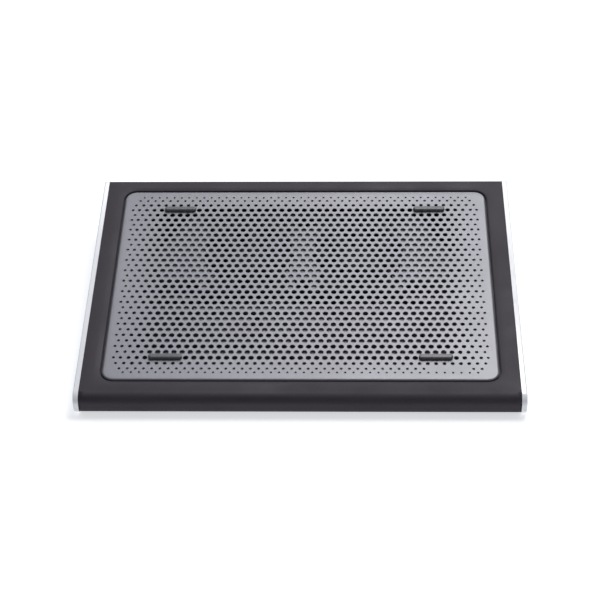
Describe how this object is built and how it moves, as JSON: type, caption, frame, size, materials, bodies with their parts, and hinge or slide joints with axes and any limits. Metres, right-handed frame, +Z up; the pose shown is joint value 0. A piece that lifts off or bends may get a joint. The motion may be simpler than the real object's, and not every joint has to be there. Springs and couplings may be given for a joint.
{
  "type": "laptop cooling pad",
  "caption": "Wedge-shaped laptop cooling mat with a perforated metal deck, rubber stops, soft black body, white end caps and spinning fans inside.",
  "frame": {"origin": "middle of the outline, on the surface that the mat stands on", "axes": "+Z up, +Y towards the high rear edge with the power inlet, +X to the right seen from the low front edge"},
  "size_m": [0.4, 0.2934, 0.0579],
  "materials": {
    "plate_metal": "satin, finely blasted sheet",
    "tray_plastic": "light grey moulded plastic",
    "cover_soft": "soft black skin with a fine grain",
    "pad_foam": "black foam-backed knit",
    "shell_plastic": "black moulded plastic, fine texture",
    "cap_plastic": "glossy white",
    "grip_rubber": "matte black",
    "stop_rubber": "matte dark grey",
    "fan_plastic": "black moulded plastic",
    "bearing_brass": "turned",
    "board_green": "lacquered circuit board",
    "core_steel": "stamped and turned",
    "coil_copper": "enamelled copper wire",
    "magnet_ferrite": "dark ferrite",
    "screw_steel": "blackened",
    "socket_metal": "nickel plated",
    "insert_black": "black moulded plastic",
    "plug_white": "off-white moulded plastic",
    "lead_sleeve": "black sleeve"
  },
  "bodies": {
    "mat": {"mesh_plate": "plate_metal", "vent_tray": "tray_plastic", "soft_cover": "cover_soft", "base_pad": "pad_foam", "inner_frame": "shell_plastic", "floor_shell": "shell_plastic", "inlet_bezel": "shell_plastic", "board_stand": "shell_plastic", "rear_vent_left": "shell_plastic", "rear_vent_right": "shell_plastic", "intake_guard_left": "shell_plastic", "intake_guard_right": "shell_plastic", "end_cap_left": "cap_plastic", "end_cap_right": "cap_plastic", "grip_front": "grip_rubber", "grip_rear": "grip_rubber", "stop_front_left": "stop_rubber", "stop_front_right": "stop_rubber", "stop_rear_left": "stop_rubber", "stop_rear_right": "stop_rubber", "fan_frame_left": "fan_plastic", "fan_bearing_left": "bearing_brass", "fan_board_left": "board_green", "fan_core_left": "core_steel", "fan_coils_left": "coil_copper", "fan_lead_left": "lead_sleeve", "fan_frame_right": "fan_plastic", "fan_bearing_right": "bearing_brass", "fan_board_right": "board_green", "fan_core_right": "core_steel", "fan_coils_right": "coil_copper", "fan_lead_right": "lead_sleeve", "case_screws": "screw_steel", "tray_screws": "screw_steel", "fan_screws": "screw_steel", "board_screws": "screw_steel", "socket_shell": "socket_metal", "socket_insert": "insert_black", "board_parts": "insert_black", "power_board": "board_green", "lead_plugs": "plug_white"},
    "rotor_left": {"fan_rotor_left": "fan_plastic", "fan_magnet_left": "magnet_ferrite", "fan_shaft_left": "core_steel"},
    "rotor_right": {"fan_rotor_right": "fan_plastic", "fan_magnet_right": "magnet_ferrite", "fan_shaft_right": "core_steel"}
  },
  "joints": [
    {"name": "fan_left_spin", "type": "hinge", "parent": "mat", "child": "rotor_left", "pos_m": [-0.052, 0.03789, 0.0392], "axis": [0, -0.1305, 0.9914], "continuous": true},
    {"name": "fan_right_spin", "type": "hinge", "parent": "mat", "child": "rotor_right", "pos_m": [0.052, 0.03789, 0.0392], "axis": [0, -0.1305, 0.9914], "continuous": true}
  ]
}
